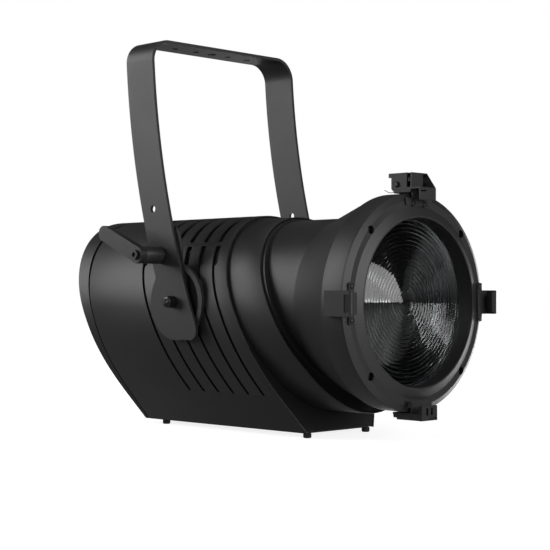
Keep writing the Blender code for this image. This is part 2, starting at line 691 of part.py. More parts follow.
def make_optics():
    low_z = AXIS_Z - ROD_ORBIT_R
    ring = [(NECK_R - SHEET - GAP, ROD_FRONT_Y), (NECK_R - SHEET - GAP, ROD_FRONT_Y + 0.003),
            (0.085, ROD_FRONT_Y + 0.003), (0.085, ROD_FRONT_Y)]
    spots = [(-ROD_ORBIT_R, AXIS_Z), (ROD_ORBIT_R, AXIS_Z), (0, low_z)]
    carrier = piece("rod_ring", lens_turned(ring, 28), ALUMINIUM, 0.5, 0.8)
    disc = facing_y([circle((0, AXIS_Z), 0.0975, 26), circle((0, AXIS_Z), 0.046, 24)], 0.005,
                    lambda z: CARRIAGE_Y)
    slide = joint_empty("zoom_slide", (0, CARRIAGE_Y, AXIS_Z))
    carriage = piece("zoom_carriage", disc, BLACK, 0.6, 0.3, slide)
    for x, z in spots:
        cut(carrier, rod((x, 0.09, z), (x, 0.13, z), ROD_R + GAP, 16))
        cut(carriage, rod((x, CARRIAGE_Y - 0.02, z), (x, CARRIAGE_Y + 0.02, z), ROD_R + GAP, 16))
    for name, x in (("left", -ROD_ORBIT_R), ("right", ROD_ORBIT_R)):
        ends = ((x, ROD_FRONT_Y - 0.001, AXIS_Z), (x, BULKHEAD_Y + 0.0025, AXIS_Z))
        piece(f"guide_rod_{name}", rod(*ends, ROD_R, 12), STEEL, 0.2, 1.0)
    screw_axis = joint_empty("screw_axis", (0, CARRIAGE_Y, low_z))
    ends = ((0, ROD_FRONT_Y - 0.001, low_z), (0, BULKHEAD_Y + 0.0012, low_z))
    piece("lead_screw", rod(*ends, ROD_R, 12), STEEL, 0.3, 1.0, screw_axis)

    dome = [(0, CARRIAGE_Y - 0.012), (0.018, CARRIAGE_Y - 0.0105), (0.034, CARRIAGE_Y - 0.006),
            (0.0457, CARRIAGE_Y), (0.0457, CARRIAGE_Y + 0.002), (0, CARRIAGE_Y + 0.002)]
    piece("zoom_lens", lens_turned(dome, 24, False), (0.85, 0.88, 0.90), 0.05, 0.0, slide)

    cup = [(0.043, 0.272), (0.043, 0.274), (0.034, 0.2965), (0.032, 0.2965), (0.041, 0.272)]
    piece("led_reflector", lens_turned(cup, 24), (0.8, 0.8, 0.8), 0.1, 1.0)
    piece("led_board", rod((0, 0.297, AXIS_Z), (0, 0.3000, AXIS_Z), 0.042, 24), (0.75, 0.75, 0.72), 0.6, 0.0)


def make_cooling():
    rear = BULKHEAD_Y + 0.0023
    fins = [(-0.070, rear), (0.070, rear)]
    for i in range(9):
        x = 0.070 - i * 0.0171875
        fins += [(x, 0.362), (x - 0.0025, 0.362)]
        if i < 8:
            fins += [(x - 0.0025, 0.308), (x - 0.0171875, 0.308)]
    piece("heatsink", facing_z([fins], 0.094, 0.232), ALUMINIUM, 0.5, 0.9)

    def middle(y):
        return lambda z: y

    fan_z = 0.163
    square = [(-0.060, fan_z - 0.060), (0.060, fan_z - 0.060), (0.060, fan_z + 0.060), (-0.060, fan_z + 0.060)]
    frame = piece("fan_frame", facing_y([square, circle((0, fan_z), 0.057, 24)], 0.025, middle(0.3805)), DARK, 0.6, 0)
    join(frame, box((-0.0585, 0.390, fan_z - 0.003), (0.0585, 0.3925, fan_z + 0.003)),
         box((-0.003, 0.3901, fan_z - 0.0585), (0.003, 0.3926, fan_z + 0.0585)),
         rod((0, 0.3898, fan_z), (0, 0.3924, fan_z), 0.019, 16))

    axis = joint_empty("fan_axis", (0, 0.380, fan_z))
    rotor = piece("fan_rotor", rod((0, 0.370, fan_z), (0, 0.389, fan_z), 0.019, 20), DARK, 0.5, 0, axis)
    for i in range(7):
        turn = Matrix.Translation((0, 0.3795, fan_z)) @ Matrix.Rotation(math.radians(i * 360 / 7), 4, "Y")
        blade = turn @ Matrix.Rotation(math.radians(35), 4, "X")
        join(rotor, box((0.012, -0.0012, -0.010), (0.052, 0.0012, 0.010), blade))

    low_z = AXIS_Z - ROD_ORBIT_R
    piece("zoom_motor", box((-0.021, rear, low_z - 0.021), (0.021, rear + 0.034, low_z + 0.021)), DARK, 0.5, 0.5)
    piece("power_supply", box((-0.048, 0.306, 0.006), (0.048, 0.400, 0.040)), STEEL, 0.4, 0.9)


# ---------------------------------------------------------------- rear

def rear_frame():
    """Rear panel coordinates: X to the right as seen from behind, Y up the panel, Z out of it."""
    up = Vector((0, REAR_SLOPE, 1)).normalized()
    out = Vector((0, 1, -REAR_SLOPE)).normalized()
    turn = Matrix((up.cross(out), up, out)).transposed().to_4x4()
    return Matrix.Translation((0, REAR_AT_AXIS_Y, AXIS_Z)) @ turn


BUTTONS = (("menu", -0.036), ("up", -0.012), ("down", 0.012), ("enter", 0.036))
BUTTON_Y = 0.020
SOCKETS = (("power_inlet", -0.063), ("power_outlet", -0.021), ("data_in", 0.021), ("data_out", 0.063))
SOCKET_Y = -0.040


def make_rear():
    frame = rear_frame()
    outline = horseshoe()
    cover = piece("rear_cover", skin(on_plane(outline, cover_front_y), on_plane(outline, rear_y), True, True))
    for i in range(5):
        y = 0.074 + i * 0.008
        cut(cover, box((-0.040, y, -0.006), (0.040, y + 0.0035, 0.006), frame))

    def through(x, y, radius, low, high, sides=20):
        return rod(frame @ Vector((x, y, low)), frame @ Vector((x, y, high)), radius, sides)

    panel = piece("control_panel", box((-0.056, 0.010, GAP), (0.056, 0.060, 0.0033), frame), DARK, 0.3, 0.0)
    cut(panel, box((-0.0213, 0.0315, 0.0015), (0.0213, 0.0545, 0.006), frame))
    window = box((-0.021, 0.0318, 0.0018), (0.021, 0.0542, 0.0036), frame)
    piece("display_window", window, (0.02, 0.03, 0.05), 0.08, 0.0)
    for name, x in BUTTONS:
        cut(panel, through(x, BUTTON_Y, 0.0042, -0.002, 0.006, 16))
        place = frame @ Vector((x, BUTTON_Y, 0.002))
        holder = joint_empty(f"button_{name}_slide", place)
        piece(f"button_{name}", through(x, BUTTON_Y, 0.0038, 0.002, 0.0052, 16), BLACK, 0.6, 0.0, holder)

    for name, x in SOCKETS:
        cut(cover, through(x, SOCKET_Y, 0.0123, -0.006, 0.006))
        flange = box((x - 0.013, SOCKET_Y - 0.0155, GAP), (x + 0.013, SOCKET_Y + 0.0155, 0.0028), frame)
        socket = piece(name, flange, DARK, 0.5, 0.2)
        join(socket, through(x, SOCKET_Y, 0.0119, -0.022, 0.0026))
        cut(socket, through(x, SOCKET_Y, 0.0096, -0.014, 0.006))


def make_lamp():
    make_housing()
    make_mid_shell()
    make_front()
    make_clips()
    make_latch()
    make_yoke()
    make_brake()
    make_lever()
    make_optics()
    make_cooling()
    make_rear()


make_lamp()
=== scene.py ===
"""Looks of the LED Fresnel stage spotlight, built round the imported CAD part.

Pieces are drawn in the lamp's own coordinates: x = 0 on the plane of symmetry, y = 0 on the front ring's
face and z = 0 on the underside of the base. LAMP carries them to the CAD frame. Units are metres.
"""

import json
import math

import bmesh
import bpy
from mathutils import Matrix, Vector

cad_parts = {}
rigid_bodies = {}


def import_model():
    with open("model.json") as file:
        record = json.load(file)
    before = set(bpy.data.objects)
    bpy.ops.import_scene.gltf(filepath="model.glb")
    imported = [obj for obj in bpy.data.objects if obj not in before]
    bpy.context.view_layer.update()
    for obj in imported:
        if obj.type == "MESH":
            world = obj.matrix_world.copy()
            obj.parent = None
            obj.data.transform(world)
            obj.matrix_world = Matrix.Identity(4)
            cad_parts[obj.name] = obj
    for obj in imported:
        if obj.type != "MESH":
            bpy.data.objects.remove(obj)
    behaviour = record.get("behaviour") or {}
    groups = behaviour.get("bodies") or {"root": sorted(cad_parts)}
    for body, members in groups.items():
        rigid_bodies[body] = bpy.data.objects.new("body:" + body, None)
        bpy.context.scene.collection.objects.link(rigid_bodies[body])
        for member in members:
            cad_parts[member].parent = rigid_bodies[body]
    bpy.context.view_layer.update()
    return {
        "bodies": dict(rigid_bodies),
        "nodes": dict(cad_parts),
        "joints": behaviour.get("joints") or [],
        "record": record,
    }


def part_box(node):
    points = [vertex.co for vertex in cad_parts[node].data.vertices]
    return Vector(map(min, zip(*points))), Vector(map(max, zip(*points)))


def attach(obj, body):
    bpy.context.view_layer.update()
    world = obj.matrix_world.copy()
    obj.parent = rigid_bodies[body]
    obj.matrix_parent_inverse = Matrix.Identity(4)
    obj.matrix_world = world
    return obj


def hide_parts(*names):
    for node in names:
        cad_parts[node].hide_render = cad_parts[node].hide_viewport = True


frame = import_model()

# Lens axis, read from the CAD front ring
AXIS_Z = 0.1569
LIP_Y = -0.0045
ring_low, ring_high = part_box("front_bezel")
RING_R = (ring_high.x - ring_low.x) / 2
LAMP = Matrix.Translation(((ring_low.x + ring_high.x) / 2, ring_low.y - LIP_Y,
                           (ring_low.z + ring_high.z) / 2 - AXIS_Z))

# Front ring, bell and lens
RING_FLAT_R = 0.120
INNER_FLAT_R = 0.112
OPENING_R = 0.0992
BELL_FRONT_Y = 0.0053
BELL_BAND_END_Y = 0.0345
NECK_R = 0.102
NECK_FRONT_Y = 0.1022
NECK_REAR_Y = 0.205
RING_SCREW_R = 0.1167
LENS_R = 0.100
LENS_FRONT_Y = 0.016
LENS_REAR_Y = 0.024
ROUND = 176
SHEET = 0.002
GAP = 0.0003

PAN_HALF_W = 0.0575

# Well past the object on either side, for cutters that go right through it
BEYOND_X = 0.15

# Leaning planes: (y at the height of the lens's axis, how far y moves back as z rises by one)
FRONT_PLANE = (0.1917, 0.46)
MID_PLANE = (0.1345, 0.52)
COVER_PLANE = (0.4666, 0.345)
REAR_PLANE = (0.4857, 0.43)

# Housing
CROWN_R = 0.1183
CROWN_Z = 0.1488
BASE_HALF_W = 0.0609
CROWN_TOP_Z = CROWN_Z + CROWN_R
SLOT_COUNT = 6
SLOT_FIRST_Y = 0.216
SLOT_PITCH = 0.0266
SLOT_SLOPE = 0.45
SLOT_REAR = 0.0022
SLOT_NARROW_FRONT = -0.0022
SLOT_WIDE_FRONT = -0.0072
SLOT_LOW_Z = 0.0445
SLOT_STEP_LOW_Z = 0.2015
SLOT_STEP_HIGH_Z = 0.2045
SLOT_HIGH_Z = 0.2265
ROOF_SLOT_Z = 0.2315
# Inset and thickness of the dark sheet behind the slots, which is painted shade
SHADE_SHEET_INSET = 0.0045
SHADE_SHEET_T = 0.001
EDGE_ROLL = 0.0011
MID_R = 0.1145
MID_LOW_R = 0.102
MID_BOTTOM_Z = 0.024
COLLAR_R = 0.1105

# Clips and latch
CLIP_HALF_W = 0.0144
CLIP_TOP_R = 0.134
CLIP_REAR_Y = 0.026
CLIP_FRONT_Y = -0.0156
CLIP_LIP_R = 0.124
EAR_HALF_W = 0.0235
EAR_CORNER_R = 0.0022
EAR_T = 0.0017
EAR_MID_Y = -0.00115
EAR_FACE_Y = -0.0021
EAR_SCREW_X = 0.019
LATCH_SCREW_X = 0.0105
EAR_LOW_R = 0.113
EAR_HIGH_R = 0.1215
PIN_Y = 0.019
PIN_Z = 0.295
PIN_END_X = 0.0139
PIN_HOLE_R = 0.0028
HOOD_WALL_X = 0.0121
HOOD_TOP_Z = 0.3082
HOOD_T = 0.002
HOOD_FLOOR_Z = 0.2912

# Yoke, brake and lever
PIVOT_Y = 0.286
PIVOT_Z = 0.157
BOLT_HOLE_R = 0.0063
YOKE_HALF_W = 0.1276
YOKE_T = 0.004
YOKE_TOP_Z = 0.491
YOKE_BOTTOM_Z = 0.110
YOKE_BEND_R = 0.029
YOKE_BAR_HALF = 0.0255
YOKE_BOW_R = 1.0
YOKE_BOW_TOP = (0.354, 0.528)
YOKE_END_R = 0.020
DISC_R = 0.0480
DISC_INNER_R = 0.0410
DISC_OPENING = (113, 247)
DISC_T = 0.0043
DISC_FACE_X = 0.1233
BOLT_END_X = 0.1426
LEVER_Y = 0.310
LEVER_Z = 0.2155
LEVER_HOLE_R = 0.0046
SMALL_YOKE_HOLE_R = 0.0045
LARGE_YOKE_HOLE_R = 0.0065
YOKE_SIDE_HOLE = (0.325, 0.274)
YOKE_TOP_HOLES_X = (-0.065, -0.029, 0.0, 0.029, 0.065)
BARREL_R = 0.011
BARREL_END_X = 0.1585
LEVER_EYE_END_X = 0.168
LEVER_END_X = 0.1715
HANDLE_END = (0.374, 0.2435)
HANDLE_END_R = 0.0096
SHOE_X = (-0.1232, -0.1212)
SHOE_FOOT_Y = (0.320, 0.2735)
SHOE_PEG_HOLE = (0.2865, 0.2450)


def front_y(z):
    return FRONT_PLANE[0] + FRONT_PLANE[1] * (z - AXIS_Z)


def cover_front_y(z):
    return COVER_PLANE[0] + COVER_PLANE[1] * (z - AXIS_Z)


def shell_rear_y(z):
    return cover_front_y(z) - 0.001 - 0.045 * max(0, z - AXIS_Z)


def rear_y(z):
    return REAR_PLANE[0] + REAR_PLANE[1] * (z - AXIS_Z)


def mid_y(z):
    return MID_PLANE[0] + MID_PLANE[1] * (z - AXIS_Z)


# ---------------------------------------------------------------- materials

def material(name, base, roughness, metallic=0.0, **extra):
    made = bpy.data.materials.new(name)
    made.use_nodes = True
    shader = made.node_tree.nodes["Principled BSDF"]
    shader.inputs["Base Color"].default_value = (*base, 1)
    shader.inputs["Roughness"].default_value = roughness
    shader.inputs["Metallic"].default_value = metallic
    for socket, value in extra.items():
        shader.inputs[socket.replace("_", " ")].default_value = value
    return made


def grain(made, scale, strength, spread=0.0, depth=0.0001):
    """A fine bump, and a slow change of roughness, from noise in object coordinates."""
    tree = made.node_tree
    shader = tree.nodes["Principled BSDF"]
    where = tree.nodes.new("ShaderNodeTexCoord")
    fine = tree.nodes.new("ShaderNodeTexNoise")
    fine.inputs["Scale"].default_value = scale
    fine.inputs["Detail"].default_value = 3
    bump = tree.nodes.new("ShaderNodeBump")
    bump.inputs["Strength"].default_value = strength
    bump.inputs["Distance"].default_value = depth
    tree.links.new(where.outputs["Object"], fine.inputs["Vector"])
    tree.links.new(fine.outputs["Fac"], bump.inputs["Height"])
    tree.links.new(bump.outputs["Normal"], shader.inputs["Normal"])
    if spread:
        slow = tree.nodes.new("ShaderNodeTexNoise")
        slow.inputs["Scale"].default_value = 14
        slow.inputs["Detail"].default_value = 4
        middle = shader.inputs["Roughness"].default_value
        reach = tree.nodes.new("ShaderNodeMapRange")
        reach.inputs["To Min"].default_value = middle - spread
        reach.inputs["To Max"].default_value = middle + spread
        tree.links.new(where.outputs["Object"], slow.inputs["Vector"])
        tree.links.new(slow.outputs["Fac"], reach.inputs["Value"])
        tree.links.new(reach.outputs["Result"], shader.inputs["Roughness"])
    return made


LOOKS = {
    "black_paint": grain(material("black_paint", (0.016, 0.016, 0.0175), 0.47), 1500, 0.35, 0.04),
    "black_screw_steel": grain(material("black_screw_steel", (0.05, 0.05, 0.053), 0.33, 0.85),
                               900, 0.1, 0.05),
    "plain_steel": grain(material("plain_steel", (0.50, 0.50, 0.51), 0.30, 1.0), 700, 0.1, 0.06),
    "bare_aluminium": grain(material("bare_aluminium", (0.60, 0.60, 0.62), 0.42, 1.0), 500, 0.15, 0.08),
    "foot_rubber": grain(material("foot_rubber", (0.012, 0.012, 0.012), 0.78), 1200, 0.5),
    "front_glass": material("front_glass", (0.93, 0.96, 0.97), 0.0, Transmission_Weight=1.0, IOR=1.5),
    "inner_glass": material("inner_glass", (0.93, 0.96, 0.97), 0.0, Transmission_Weight=1.0, IOR=1.5),
    "led_ceramic": grain(material("led_ceramic", (0.80, 0.76, 0.55), 0.55), 300, 0.1),
    "reflector_mirror": material("reflector_mirror", (0.85, 0.85, 0.86), 0.08, 1.0),
    "black_plastic": grain(material("black_plastic", (0.014, 0.014, 0.015), 0.5), 1000, 0.3, 0.03),
    "panel_plastic": grain(material("panel_plastic", (0.022, 0.022, 0.024), 0.42), 1400, 0.2, 0.03),
    "display_gloss": material("display_gloss", (0.015, 0.024, 0.045), 0.08, Coat_Weight=0.6),
    "button_rubber": grain(material("button_rubber", (0.045, 0.045, 0.047), 0.62), 1000, 0.2),
}
SLOT_OF = {sub["node"]: sub["material_slot"] for sub in frame["record"]["subparts"]}
BODY_OF = {node: body for body, nodes in frame["record"]["behaviour"]["bodies"].items() for node in nodes}
for node, obj in frame["nodes"].items():
    obj.data.materials.clear()
    obj.data.materials.append(LOOKS[SLOT_OF[node]])


# ---------------------------------------------------------------- pieces

def show(name, mesh, *nodes, slot=None, body=None, bevel=0.0, segments=2, angle=30, smooth=35):
    """A shown piece from a mesh in the lamp's coordinates, standing for CAD nodes or riding with a body."""
    mesh.transform(LAMP)
    mesh.name = name
    obj = bpy.data.objects.new(name, mesh)
    bpy.context.scene.collection.objects.link(obj)
    slot = slot or SLOT_OF[nodes[0]]
    mesh.materials.clear()
    mesh.materials.append(LOOKS[slot])
    mesh.shade_smooth()
    mesh.set_sharp_from_angle(angle=math.radians(smooth))
    if bevel:
        rounding = obj.modifiers.new("Bevel", "BEVEL")
        rounding.width = bevel
        rounding.segments = segments
        rounding.limit_method = "ANGLE"
        rounding.angle_limit = math.radians(angle)
        rounding.harden_normals = True
        rounding.use_clamp_overlap = True
    if nodes:
        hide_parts(*nodes)
    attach(obj, body or BODY_OF[nodes[0]])
    return obj


def helper(name, data):
    obj = bpy.data.objects.new(name, data)
    bpy.context.scene.collection.objects.link(obj)
    return obj


def baked(obj):
    """The evaluated mesh of a helper object, which is removed, welded and with its faces turned out."""
    bpy.context.view_layer.update()
    graph = bpy.context.evaluated_depsgraph_get()
    mesh = bpy.data.meshes.new_from_object(obj.evaluated_get(graph))
    bpy.data.objects.remove(obj, do_unlink=True)
    bm = bmesh.new()
    bm.from_mesh(mesh)
    bmesh.ops.remove_doubles(bm, verts=bm.verts, dist=0.000002)
    return mesh_from(bm)


def mesh_from(bm):
    bmesh.ops.recalc_face_normals(bm, faces=bm.faces)
    mesh = bpy.data.meshes.new("shape")
    bm.to_mesh(mesh)
    bm.free()
    return mesh


def merged(*meshes):
    bm = bmesh.new()
    for mesh in meshes:
        bm.from_mesh(mesh)
    made = bpy.data.meshes.new("shape")
    bm.to_mesh(made)
    bm.free()
    return made


def combine(mesh, operation, *others):
    """The mesh after Boolean steps with others, all in the lamp's coordinates."""
    base = helper("base", mesh)
    tools = [helper("tool", other) for other in others]
    for tool in tools:
        step = base.modifiers.new("Boolean", "BOOLEAN")
        step.operation = operation
        step.object = tool
    made = baked(base)
    for tool in tools:
        bpy.data.objects.remove(tool, do_unlink=True)
    return made


def cut(mesh, *others):
    return combine(mesh, "DIFFERENCE", *others)


def join(mesh, *others):
    return combine(mesh, "UNION", *others)


def box(low, high, frame=Matrix()):
    bm = bmesh.new()
    low, high = Vector(low), Vector(high)
    size = Matrix.Diagonal((*(high - low), 1))
    bmesh.ops.create_cube(bm, size=1, matrix=frame @ Matrix.Translation((low + high) / 2) @ size)
    return mesh_from(bm)


def cross_rod(y, z, radius, sides=40):
    """A rod along x that goes right through the lamp."""
    return rod((-BEYOND_X, y, z), (BEYOND_X, y, z), radius, sides)


def rod(start, end, radius, sides=40):
    start, end = Vector(start), Vector(end)
    turn = (end - start).to_track_quat("Z", "X").to_matrix().to_4x4()
    bm = bmesh.new()
    bmesh.ops.create_cone(bm, cap_ends=True, segments=sides, radius1=radius, radius2=radius,
                          depth=(end - start).length, matrix=Matrix.Translation((start + end) / 2) @ turn)
    return mesh_from(bm)


def turned(profile, frame, steps=64, closed=False):
    """A turned shape about a frame's Z, from (radius, height) points.

    An open profile starts and ends on the axis.
    """
    mesh = bpy.data.meshes.new("profile")
    count = len(profile)
    edges = [(i, (i + 1) % count) for i in range(count if closed else count - 1)]
    mesh.from_pydata([(r, 0, h) for r, h in profile], edges, [])
    guide = helper("profile", mesh)
    screw = guide.modifiers.new("Screw", "SCREW")
    screw.steps = steps
    screw.render_steps = steps
    screw.use_merge_vertices = True
    screw.merge_threshold = 0.00001
    made = baked(guide)
    made.transform(frame)
    return made


def moved(mesh, frame):
    mesh.transform(frame)
    return mesh


def facing(x, y, z, turn_deg=90, axis="X"):
    return Matrix.Translation((x, y, z)) @ Matrix.Rotation(math.radians(turn_deg), 4, axis)


def lens_turned(profile, steps=ROUND, closed=True):
    """A shape turned about the lens axis, from (radius, y) points."""
    return turned([(r, -y) for r, y in profile], facing(0, 0, AXIS_Z), steps, closed)


def sheet(loops, thickness):
    curve = bpy.data.curves.new("outline", "CURVE")
    curve.dimensions = "2D"
    curve.fill_mode = "BOTH"
    curve.extrude = thickness / 2
    for loop in loops:
        spline = curve.splines.new("POLY")
        spline.points.add(len(loop) - 1)
        for point, (u, v) in zip(spline.points, loop):
            point.co = (u, v, 0, 1)
        spline.use_cyclic_u = True
    return baked(helper("outline", curve))


def facing_y(loops, thickness, middle_y):
    """A sheet whose outline is in (x, z). Its mid-plane lies at middle_y(z)."""
    mesh = sheet(loops, thickness)
    for vertex in mesh.vertices:
        x, z, across = vertex.co
        vertex.co = (x, middle_y(z) - across, z)
    return mesh


def facing_x(loops, low_x, high_x):
    """A sheet whose outline is in (y, z), between two values of x."""
    mesh = sheet(loops, high_x - low_x)
    for vertex in mesh.vertices:
        y, z, across = vertex.co
        vertex.co = ((low_x + high_x) / 2 + across, y, z)
    return mesh


def facing_z(loops, low_z, high_z):
    """A sheet whose outline is in (x, y), between two values of z."""
    mesh = sheet(loops, high_z - low_z)
    for vertex in mesh.vertices:
        vertex.co.z += (low_z + high_z) / 2
    return mesh


def skin(rows, closed, thickness=SHEET, cap_rear=False):
    """A sheet-metal skin stretched over rows of equally many points, thickened inwards."""
    count = len(rows[0])
    bm = bmesh.new()
    verts = [[bm.verts.new(point) for point in row] for row in rows]
    for here, there in zip(verts, verts[1:]):
        for i in range(count if closed else count - 1):
            j = (i + 1) % count
            bm.faces.new((here[i], here[j], there[j], there[i]))
    if cap_rear:
        bm.faces.new(verts[-1])
    mesh = bpy.data.meshes.new("skin")
    bm.to_mesh(mesh)
    bm.free()
    guide = helper("skin", mesh)
    solidify = guide.modifiers.new("Solidify", "SOLIDIFY")
    solidify.thickness = thickness
    solidify.offset = -1
    solidify.use_even_offset = True
    return baked(guide)


def arc(centre, radius, start, end, steps):
    angles = [math.radians(start + (end - start) * i / steps) for i in range(steps + 1)]
    return [(centre[0] + radius * math.cos(a), centre[1] + radius * math.sin(a)) for a in angles]


def circle(centre, radius, sides=48):
    return arc(centre, radius, 0, 360, sides)[:-1]


def rounded(loop, radius, steps=5):
    """A closed outline with each corner turned into a short curve, up to half of each side."""
    made = []
    for i, corner in enumerate(loop):
        corner = Vector(corner)
        before, after = Vector(loop[i - 1]) - corner, Vector(loop[(i + 1) % len(loop)]) - corner
        reach = min(radius, before.length * 0.49, after.length * 0.49)
        start, end = corner + before.normalized() * reach, corner + after.normalized() * reach
        for k in range(steps + 1):
            t = k / steps
            made.append(tuple(start * (1 - t) ** 2 + corner * 2 * t * (1 - t) + end * t * t))
    return made


def block(low, high, radius=0.0):
    """A rectangle's corners, rounded."""
    corners = [(low[0], low[1]), (high[0], low[1]), (high[0], high[1]), (low[0], high[1])]
    return rounded(corners, radius) if radius else corners


def bezier(points, steps):
    made = []
    for i in range(steps):
        t = i / steps
        s = 1 - t
        weights = (s ** 3, 3 * s * s * t, 3 * s * t * t, t ** 3)
        made.append(tuple(sum(w * p[k] for w, p in zip(weights, points)) for k in (0, 1)))
    return made


def horseshoe():
    side = bezier([(-BASE_HALF_W, 0), (-0.0884, 0.0454), (-CROWN_R, 0.0833), (-CROWN_R, CROWN_Z)], 24)
    crown = arc((0, CROWN_Z), CROWN_R, 180, 0, 88)
    return side + crown + [(-x, z) for x, z in reversed(side)]


def egg(radius, low_radius, bottom_z):
    """The taut loop round a large circle and a smaller one below it."""
    low_centre = bottom_z + low_radius
    lean = math.degrees(math.asin((radius - low_radius) / (CROWN_Z - low_centre)))
    high = arc((0, CROWN_Z), radius, 180 + lean, -lean, 96)
    return high + arc((0, low_centre), low_radius, -lean, lean - 180, 60)


def inset(loop, by):
    """A closed clockwise outline moved inwards, each corner along its mitre."""
    moved = []
    for i, point in enumerate(loop):
        before = Vector(point) - Vector(loop[i - 1])
        after = Vector(loop[(i + 1) % len(loop)]) - Vector(point)
        normals = [Vector((edge.y, -edge.x)).normalized() for edge in (before, after)]
        middle = (normals[0] + normals[1]).normalized()
        moved.append(tuple(Vector(point) + middle * by / max(0.3, middle.dot(normals[0]))))
    return moved


def on_plane(outline, plane):
    return [(x, plane(z), z) for x, z in outline]


def pan_screw(name, place, radius, slot="black_screw_steel"):
    """A round-headed cross-slotted screw whose head rises along the place's Z."""
    top = radius * 0.62
    head = [(0, top), (radius * 0.45, top * 0.93), (radius * 0.8, top * 0.66), (radius, top * 0.2),
            (radius, -0.0006), (0, -0.0006)]
    mesh = turned(head, Matrix(), 28)
    arms = [box((-radius * 0.56, -radius * 0.12, top * 0.45), (radius * 0.56, radius * 0.12, top * 2)),
            box((-radius * 0.12, -radius * 0.56, top * 0.45), (radius * 0.12, radius * 0.56, top * 2))]
    mesh = cut(mesh, *arms)
    mesh.transform(place)
    return show(name, mesh, slot=slot, body="housing")


def wire(name, points, radius):
    curve = bpy.data.curves.new(name, "CURVE")
    curve.dimensions = "3D"
    curve.bevel_depth = radius
    curve.use_fill_caps = True
    spline = curve.splines.new("NURBS")
    spline.points.add(len(points) - 1)
    for point, place in zip(spline.points, points):
        point.co = (*place, 1)
    spline.use_endpoint_u = True
    spline.order_u = 3
    return show(name, baked(helper(name, curve)), slot="black_screw_steel", body="housing")


# ---------------------------------------------------------------- housing

def slot_cutter():
    """All cooling slots: a stepped slot in each flank, and one over the roof above it, with round ends.

    Each point is (distance behind the slot's line, z), and the line leans back as it rises.
    """
    roof_end_z = CROWN_TOP_Z + 0.01
    flank = [(SLOT_REAR, SLOT_LOW_Z), (SLOT_REAR, SLOT_HIGH_Z), (SLOT_WIDE_FRONT, SLOT_HIGH_Z),
             (SLOT_WIDE_FRONT, SLOT_STEP_HIGH_Z), (SLOT_NARROW_FRONT, SLOT_STEP_LOW_Z),
             (SLOT_NARROW_FRONT, SLOT_LOW_Z)]
    roof = [(SLOT_REAR, ROOF_SLOT_Z), (SLOT_REAR, roof_end_z), (SLOT_WIDE_FRONT, roof_end_z),
            (SLOT_WIDE_FRONT, ROOF_SLOT_Z)]
    loops = []
    for i in range(SLOT_COUNT):
        middle = SLOT_FIRST_Y + i * SLOT_PITCH

        def place(loop, middle=middle):
            return [(middle + SLOT_SLOPE * (z - AXIS_Z) + across, z) for across, z in loop]

        loops += [place(rounded(flank, 0.0014)), place(rounded(roof, 0.0025))]
    return facing_x(loops, -BEYOND_X, BEYOND_X)


def rolled(outline, front, rear):
    """Rows of a skin between two planes, with both edges rolled inwards so that they catch the light."""
    steps = [(EDGE_ROLL * 0.85, 0.0), (EDGE_ROLL * 0.3, EDGE_ROLL * 0.3), (0.0, EDGE_ROLL)]
    rows = []
    for by, along in steps:
        rows.append(on_plane(inset(outline, by), lambda z, along=along: front(z) + along))
    for by, along in reversed(steps):
        rows.append(on_plane(inset(outline, by), lambda z, along=along: rear(z) - along))
    return rows


def make_housing():
    outline = horseshoe()
    shell = skin(rolled(outline, front_y, shell_rear_y), False)
    show("shell_skin", cut(shell, slot_cutter(), cross_rod(PIVOT_Y, PIVOT_Z, BOLT_HOLE_R)), "housing_shell")

    # A dark sheet behind the slots, painted shade that makes the slots read black, which also reaches under
    # the rear cover's seam to darken it the same way
    behind = inset(outline, SHADE_SHEET_INSET)
    shade_sheet = [on_plane(behind, lambda z: front_y(z) + 0.008),
              on_plane(behind, lambda z: shell_rear_y(z) + 0.012)]
    show("slot_shade_sheet", skin(shade_sheet, False, SHADE_SHEET_T), slot="foot_rubber", body="housing")

    inner = inset(outline, SHEET + GAP)
    opening = egg(MID_R + GAP, MID_LOW_R + GAP, MID_BOTTOM_Z - GAP)
    wall = facing_y([inner, opening], SHEET, lambda z: front_y(z) + 0.002)
    show("front_wall", wall, "front_plate", bevel=0.0008)

    front = front_y(0) + 0.0035
    rear = cover_front_y(0) - GAP
    floor_pan = facing_z([block((-PAN_HALF_W, front), (PAN_HALF_W, rear), 0.004)], 0, SHEET)
    show("floor_pan", floor_pan, "base_pan", bevel=0.0005)

    for name in ("front_left", "front_right", "rear_left", "rear_right"):
        low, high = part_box(f"foot_{name}")
        foot = [(0, 0), (0.0038, 0), (0.0046, 0.0005), (0.0051, 0.0016), (0.0049, 0.0055), (0, 0.0057)]
        place = Matrix.Translation((Vector(((low.x + high.x) / 2, (low.y + high.y) / 2, low.z)))
                                   - LAMP.translation)
        show(f"rubber_{name}", turned(list(reversed(foot)), place, 32), f"foot_{name}")


def bell_outside(grow):
    ease = 0.0025
    profile = [(RING_R, BELL_FRONT_Y), (RING_R, BELL_BAND_END_Y), (RING_R - 0.0004, BELL_BAND_END_Y + 0.001),
               (RING_R - 0.0014, BELL_BAND_END_Y + ease), (NECK_R + 0.0012, NECK_FRONT_Y - ease),
               (NECK_R + 0.0003, NECK_FRONT_Y), (NECK_R, NECK_FRONT_Y + ease), (NECK_R, NECK_REAR_Y)]
    return [(r + grow, y + grow) for r, y in profile]


